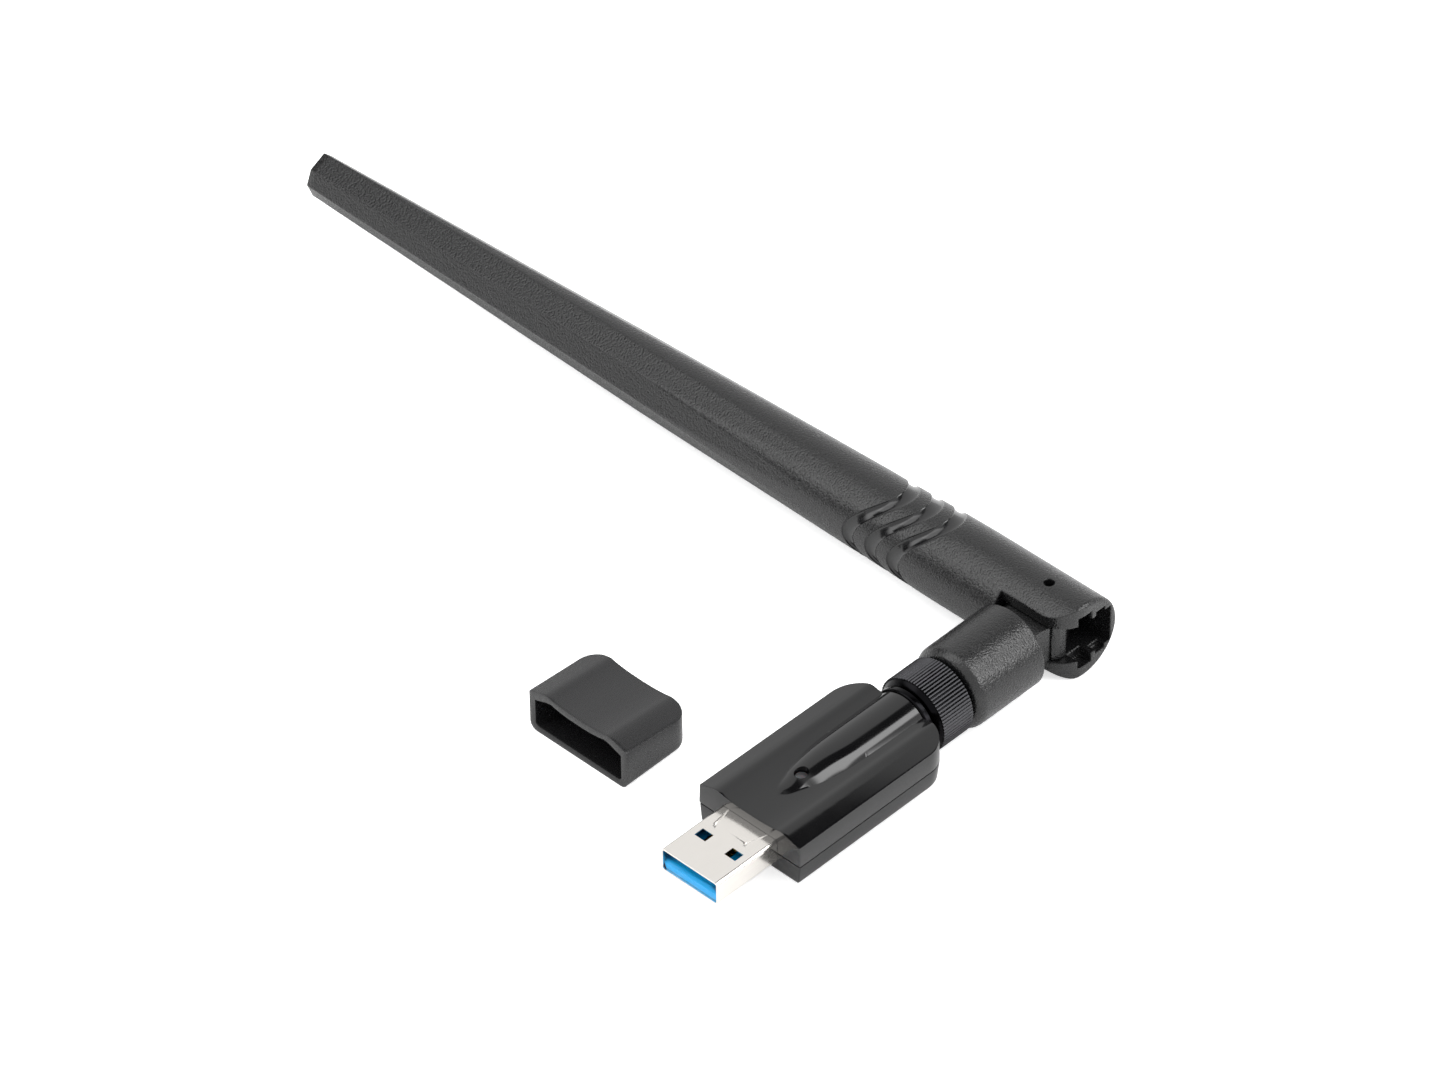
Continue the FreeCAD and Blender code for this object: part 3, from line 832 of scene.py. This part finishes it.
def capLoop(x, length, reach, inset, sink, drop):
    # one closed section; reach is its half width, drop shifts it onto the floor
    style = capStyle
    s = sink * x / length
    lift = style["rise"] * x / length
    foot = style["footRound"] - style["footShrink"] * inset
    bottom = sizeOf("housing_bottom")[0][2] + lift + inset
    halfTop = crownPoints[-1][0]
    top = []
    for i in range(2 * style["topSteps"] + 1):
        y = reach * (1 - i / style["topSteps"])
        crownY = y * halfTop / (halfTop - inset) if reach > style["fullReach"] else y
        top.append((y, crownHeight(crownY, s, style["shoulderShare"] * s) - inset))
    side = []
    for sign in (-1, 1):
        arc = []
        for i in range(style["footSteps"] + 1):
            a = math.pi / 2 * i / style["footSteps"]
            arc.append((sign * (reach - foot * (1 - math.cos(a))),
                        bottom + foot * (1 - math.sin(a))))
        side.append(arc)
    loop = top + side[0] + list(reversed(side[1]))
    return [(y, z + drop) for y, z in loop]


def makeCap():
    (x0, y0, z0), (x1, y1, _) = sizeOf("plug_cap")
    style = capStyle
    centre = (y0 + y1) / 2
    half = (y1 - y0) / 2 - style["sideGap"]
    length = x1 - x0
    drop = z0 - sizeOf("housing_bottom")[0][2]

    def sleeve(inset, end, corner, sink):
        # the outer or inner skin, from the mouth to the rounded end
        steps = style["cornerRows"]
        xs = [end * i / style["rows"] for i in range(style["rows"])]
        xs = [x for x in xs if x < end - corner]
        xs += [end - corner + corner * math.sin(math.pi / 2 * i / steps)
               for i in range(steps + 1)]
        rows = []
        for x in xs:
            reach = half - inset
            if x > end - corner:
                reach -= corner - math.sqrt(max(0.0, corner ** 2 - (x - end + corner) ** 2))
            rows.append([(x0 + x, centre + y, z)
                         for y, z in capLoop(x, length, reach, inset, sink, drop)])
        return rows

    outer = sleeve(0.0, length, style["corner"], style["sink"])
    inner = sleeve(style["wall"], length - style["wall"], style["cavityCorner"],
                   style["cavitySink"])
    count = len(outer[0])
    rows = list(reversed(inner)) + outer
    points = [p for row in rows for p in row]
    faces = gridFaces(len(rows), count, True)
    faces.append(tuple(range(count)))
    faces.append(tuple((len(rows) - 1) * count + i for i in range(count)))
    mesh = meshFrom("capShell", points, faces)
    tidyNormals(mesh)
    cap = newObject("capShell", mesh)
    roundEdges(cap, style["edgeRound"], 2, 38)
    shade(applied(cap), 35)
    place(cap, "plug_cap", finish["cap_black_abs"])


makeCap()
print("cap is made")


# pieces whose CAD shape is kept and smoothed

def latheX(name, profile, segments=96):
    # a closed profile of (x, radius) turned about the X axis
    points = []
    for k in range(segments):
        a = 2 * math.pi * k / segments
        points += [(x, r * math.cos(a), r * math.sin(a)) for x, r in profile]
    count = len(profile)
    faces = []
    for k in range(segments):
        n = (k + 1) % segments
        for j in range(count):
            i = (j + 1) % count
            faces.append((k * count + j, k * count + i, n * count + i, n * count + j))
    mesh = meshFrom(name, points, faces)
    tidyNormals(mesh)
    return mesh


def evenNormals(thing):
    # large faces keep their own normal, so flat walls stay flat beside small rounds
    even = thing.modifiers.new("even normals", "WEIGHTED_NORMAL")
    even.keep_sharp = True
    applied(thing)


def smoothCopy(node, name):
    # a merged copy of a CAD node's mesh with smooth shading on its round faces
    bm = bmesh.new()
    bm.from_mesh(frame["nodes"][node].data)
    bmesh.ops.remove_doubles(bm, verts=bm.verts, dist=0.001 * mm)
    mesh = bpy.data.meshes.new(name)
    bm.to_mesh(mesh)
    bm.free()
    shade(mesh, 30)
    smooth = newObject(name, mesh)
    evenNormals(smooth)
    return smooth


for nodeName in ("plug_shell", "plug_insulator", "led_lens", "jack_flange_ring", "swivel_barrel",
                 "jack_body", "connector_body", "pivot_pins", "hinge_coax"):
    place(smoothCopy(nodeName, nodeName + "Smooth"), nodeName, finish[slotOf(nodeName)])
print("carried-over pieces are smoothed")


# coupling nut

nutStyle = {
    "ridges": 72, "ridgeRadius": 0.235, "ridgeStart": 0.85, "ridgeEnd": 0.2,
    "bodyRadius": 6.62, "boreRadius": 3.25, "neckRadius": 2.65, "segments": 144,
}


def ridgeTree():
    # straight ridges on a circle: one short rod, repeated and turned about the nut's axis
    tree = bpy.data.node_groups.new("knurl ridges", "GeometryNodeTree")
    sockets = (("Ridges", "NodeSocketInt"), ("Circle Radius", "NodeSocketFloat"),
               ("Ridge Radius", "NodeSocketFloat"), ("Ridge Length", "NodeSocketFloat"),
               ("Start", "NodeSocketFloat"), ("Material", "NodeSocketMaterial"))
    for name, kind in sockets:
        tree.interface.new_socket(name=name, in_out="INPUT", socket_type=kind)
    tree.interface.new_socket(name="Geometry", in_out="OUTPUT", socket_type="NodeSocketGeometry")
    given = addNode(tree, "NodeGroupInput")
    circle = addNode(tree, "GeometryNodeMeshCircle", links={
        "Vertices": given.outputs["Ridges"], "Radius": given.outputs["Circle Radius"]})
    rod = addNode(tree, "GeometryNodeMeshCylinder", {"Vertices": 6}, {
        "Radius": given.outputs["Ridge Radius"], "Depth": given.outputs["Ridge Length"]})
    rods = addNode(tree, "GeometryNodeInstanceOnPoints", links={
        "Points": circle.outputs[0], "Instance": rod.outputs[0]})
    shift = addNode(tree, "ShaderNodeCombineXYZ", links={"X": given.outputs["Start"]})
    turned = addNode(tree, "GeometryNodeTransform", {"Rotation": (0, math.pi / 2, 0)}, {
        "Geometry": rods.outputs[0], "Translation": shift.outputs[0]})
    real = addNode(tree, "GeometryNodeRealizeInstances", links={0: turned.outputs[0]})
    coated = addNode(tree, "GeometryNodeSetMaterial", links={
        "Geometry": real.outputs[0], "Material": given.outputs["Material"]})
    addNode(tree, "NodeGroupOutput", links={0: coated.outputs[0]})
    return tree


def makeNut():
    (x0, _, _), (x1, _, _) = sizeOf("coupling_nut")
    style = nutStyle
    r, bore, neck = style["bodyRadius"], style["boreRadius"], style["neckRadius"]
    # the rounded front, the rim, the rear face and its neck, then the bore with a lead-in
    profile = [(x0, 3.7), (x0, 5.3), (x0 + 0.12, 5.62), (x0 + 0.35, 6.0), (x0 + 0.65, 6.3),
               (x0 + 0.95, r), (x1 - 0.2, r), (x1 - 0.05, r - 0.05), (x1, r - 0.2), (x1, neck),
               (x1 - 1.0, neck), (x1 - 1.0, bore), (x0 + 0.45, bore)]
    nut = newObject("nutBody", latheX("nutBody", profile, style["segments"]))
    shade(nut.data, 35)
    place(nut, "coupling_nut", finish["nut_black_nickel"])
    ridges = newObject("nutRidges", bpy.data.meshes.new("nutRidges"))
    tree = ridgeTree()
    knurl = ridges.modifiers.new("knurl", "NODES")
    knurl.node_group = tree
    length = x1 - x0 - style["ridgeStart"] - style["ridgeEnd"]
    values = {"Ridges": style["ridges"], "Circle Radius": r * mm,
              "Ridge Radius": style["ridgeRadius"] * mm, "Ridge Length": length * mm,
              "Start": (x0 + style["ridgeStart"] + length / 2) * mm, "Material": crestHighlightFinish}
    for item in tree.interface.items_tree:
        if item.in_out == "INPUT":
            knurl[item.identifier] = values[item.name]
    shade(applied(ridges), 50)
    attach(ridges, "coupling_nut")


makeNut()
print("nut is made")


# mast with its fork

# places along the mast are measured from the hinge's pivot
mastStyle = {
    "columns": 240, "forkEnd": -8.0, "forkRound": 0.7, "forkRadius": 7.45, "waistStart": 16.0,
    "forkRows": 8, "neckRows": 8, "neckStep": 0.8,
    "grooveS": (24.0, 28.9, 34.0), "grooveDepth": 0.5, "grooveFade": 0.35,
    "saddle": 3.2, "saddleRise": (16.5, 23.5), "saddleFall": (38, 58),   # how the grooves dip
    "bladeStart": 38.0, "bladeRadius": 7.08, "taper": 0.0193,
    "plainRows": (36.0, 37.0, 38.0, 40.0, 42.0, 44.0),
    "facetStart": 46.0, "facetRows": 90, "leastFacing": 0.2, "tipRound": 0.3,
    "shiftX": -1.0, "shiftZ": -0.3,
}
# the tip's section about its own axis, mirrored below: near edge, upper facets, flat back
tipSection = ((-3.5, 0.0), (-2.4, 2.8), (0.9, 4.5), (2.6, 2.9), (2.6, 0.0))
# a groove's cross section: place along the mast, share of the depth
grooveRows = ((-1.3, 0.0), (-1.22, 0.35), (-0.9, 0.8), (-0.3, 1.0), (0.3, 1.0), (0.9, 0.8),
              (1.22, 0.35), (1.3, 0.0))


def tipPlanes():
    # each edge of the section as an outward direction and its distance from the axis
    planes = []
    for (xa, za), (xb, zb) in zip(tipSection[:-1], tipSection[1:]):
        length = math.hypot(xb - xa, zb - za)
        nx, nz = -(zb - za) / length, (xb - xa) / length
        distance = xa * nx + za * nz
        planes.append((math.atan2(nz, nx), distance))
        planes.append((math.atan2(-nz, nx), distance))
    return planes


def mastRadius(s, angle, tipY, planes):
    # a round shaft that turns into a faceted one towards the tip
    style = mastStyle
    if s < style["bladeStart"]:
        share = smoothstep(style["waistStart"], style["bladeStart"], s)
        radius = style["forkRadius"] + (style["bladeRadius"] - style["forkRadius"]) * share
    else:
        radius = style["bladeRadius"] - style["taper"] * (s - style["bladeStart"])
    if s <= style["facetStart"]:
        return radius
    rim = style["bladeRadius"] - style["taper"] * (style["facetStart"] - style["bladeStart"])
    share = (s - style["facetStart"]) / (tipY - style["facetStart"])
    for direction, distance in planes:
        facing = math.cos(angle - direction)
        if facing > style["leastFacing"]:
            radius = min(radius, (rim + (distance - rim) * share) / facing)
    return radius


def prismCutter(outline, low, high):
    # an upright cutting prism over a plan outline of (x, y) corners
    count = len(outline)
    points = [(x, y, low) for x, y in outline] + [(x, y, high) for x, y in outline]
    faces = [tuple(range(count - 1, -1, -1)), tuple(range(count, 2 * count))]
    faces += [(i, (i + 1) % count, count + (i + 1) % count, count + i) for i in range(count)]
    mesh = meshFrom("cutter", points, faces)
    tidyNormals(mesh)
    return newObject("cutter", mesh)


# places along X and Y are measured from the hinge's pivot
hingeStyle = {
    "outside": 9,                               # past every face of the fork
    "spaceRadius": 6.1, "spaceHalf": 3.7,       # the space that the barrel's knuckle turns in
    "mouth": 5.9, "mouthTop": 5.7,              # its open side, across and up the mast
    "nearSide": -5.0, "cornerRadius": 5, "cornerY": -3,    # the fork's cut near side
    "notches": ((-1.6, 1.4, -5.4, 5.4), (2.3, 4.5, -6.4, 4.5)),    # x from, x to, y, half height
    "pinHole": 0.95, "boreRadius": 2.35, "boreStart": 3,
}


def hingeCutters(pivotX, boreEnd):
    # the hinge space, the rounded near corner, the notches, the pin hole and the bore
    style = hingeStyle
    out, half, top = style["outside"], style["spaceHalf"], style["mouthTop"]
    radius, cornerY, start = style["cornerRadius"], style["cornerY"], style["boreStart"]
    left, end = pivotX - out, -out
    corner = [(left, end), (pivotX, end)]
    for degrees in range(0, 91, 6):
        a = math.radians(degrees)
        corner.append((pivotX - radius * math.sin(a), cornerY - radius * math.cos(a)))
    corner.append((left, cornerY))
    cutters = [
        rodCutter((pivotX, 0, 0), style["spaceRadius"], (0, 0, 1), 2 * half, 96),
        blockCutter((left, end, -half), (pivotX + style["mouth"], 0.001, half)),
        blockCutter((left, -1, -half), (pivotX, top, half)),
        blockCutter((left, end, -out), (pivotX + style["nearSide"], top, out)),
        prismCutter(corner, -out, out),
    ]
    cutters += [blockCutter((pivotX + xa, end, -tall), (pivotX + xb, y, tall))
                for xa, xb, y, tall in style["notches"]]
    return cutters + [
        rodCutter((pivotX, 0, 0), style["pinHole"], (0, 0, 1), 20, 40),
        rodCutter((pivotX, (start + boreEnd) / 2, 0), style["boreRadius"], (0, 1, 0),
                  boreEnd - start, 48),
    ]


def mastStops(tipY):
    # where the mast's rows of points lie, how far the fork's round draws some of them in,
    # and how deep the grooves are at others
    style = mastStyle
    end, edge, waist = style["forkEnd"], style["forkRound"], style["waistStart"]
    rounds = [math.radians(a) for a in range(90, -1, -18)]
    stops = [end + edge * (1 - math.sin(a)) for a in rounds]
    inward = {round(s, 4): edge * (1 - math.cos(a)) for s, a in zip(stops, rounds)}
    rowCount = style["forkRows"]
    stops += [end + edge + (waist - end - edge) * i / rowCount for i in range(1, rowCount + 1)]
    stops += [waist + i * style["neckStep"] for i in range(1, style["neckRows"] + 1)]
    marks = {}
    grooves = style["grooveS"]
    for centre in grooves:
        for offset, depth in grooveRows:
            stops.append(centre + offset)
            marks[round(centre + offset, 4)] = depth
    stops += [(a + b) / 2 for a, b in zip(grooves, grooves[1:])]
    stops += style["plainRows"]
    first, rowCount = style["facetStart"], style["facetRows"]
    stops += [first + (tipY - style["tipRound"] - first) * i / rowCount
              for i in range(rowCount + 1)]
    return sorted(stops), inward, marks


def makeMast():
    style = mastStyle
    pivotX = sum(c[0] for c in sizeOf("pivot_pins")) / 2
    tipY = sizeOf("mast_shell")[1][1]
    planes = tipPlanes()
    stops, inward, marks = mastStops(tipY)
    waist = style["waistStart"]
    count = style["columns"]
    rows = []
    for s in stops:
        wave = style["saddle"] * smoothstep(*style["saddleRise"], s)
        wave *= 1 - smoothstep(*style["saddleFall"], s)
        run = max(0.0, (s - waist) / (tipY - waist))
        depth = marks.get(round(s, 4), 0.0) * style["grooveDepth"]
        row = []
        for j in range(count):
            a = 2 * math.pi * j / count
            r = mastRadius(s, a, tipY, planes) - inward.get(round(s, 4), 0.0)
            r -= depth * (1 - style["grooveFade"] * max(0.0, math.sin(a)) ** 2)
            row.append((pivotX + style["shiftX"] * run + r * math.cos(a),
                        s + wave * math.cos(2 * a), style["shiftZ"] * run + r * math.sin(a)))
        rows.append(row)
    # the tip's rounded rim: the last two rows draw in towards the tip's own middle
    middleX, middleZ = pivotX + style["shiftX"], style["shiftZ"]
    for shrink, y in ((0.025, tipY - 0.1), (0.075, tipY)):
        rows.append([(middleX + (x - middleX) * (1 - shrink), y,
                      middleZ + (z - middleZ) * (1 - shrink)) for x, _, z in rows[-1]])
    points = [p for row in rows for p in row]
    faces = gridFaces(len(rows), count, True)
    faces.append(tuple(range(count)))
    faces.append(tuple((len(rows) - 1) * count + j for j in range(count)))
    mesh = meshFrom("mastShell", points, faces)
    tidyNormals(mesh)
    mesh.materials.append(finish["antenna_black_pc"])
    mesh.materials.append(grooveFinish)
    # rows of faces that lie in a groove take the second material
    grooved = {i for i in range(len(stops) - 1)
               if marks.get(round(stops[i], 4), 0.0) + marks.get(round(stops[i + 1], 4), 0.0) > 0}
    for k, polygon in enumerate(mesh.polygons):
        if k // count in grooved:
            polygon.material_index = 1
    mast = newObject("mastShell", mesh)
    cutters = hingeCutters(pivotX, sizeOf("radiator_rod")[1][1] + 2)
    together = bpy.data.collections.new("hinge cutters")
    for cutter in cutters:
        together.objects.link(cutter)
    cut = mast.modifiers.new("hinge space", "BOOLEAN")
    cut.operation = "DIFFERENCE"
    cut.solver = "EXACT"
    cut.operand_type = "COLLECTION"
    cut.collection = together
    shade(applied(mast), 28)
    discard(cutters)
    bpy.data.collections.remove(together)
    evenNormals(mast)
    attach(mast, "mast")
    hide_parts("mast_shell")


makeMast()
print("mast is made")


scene.view_layers[0].update()
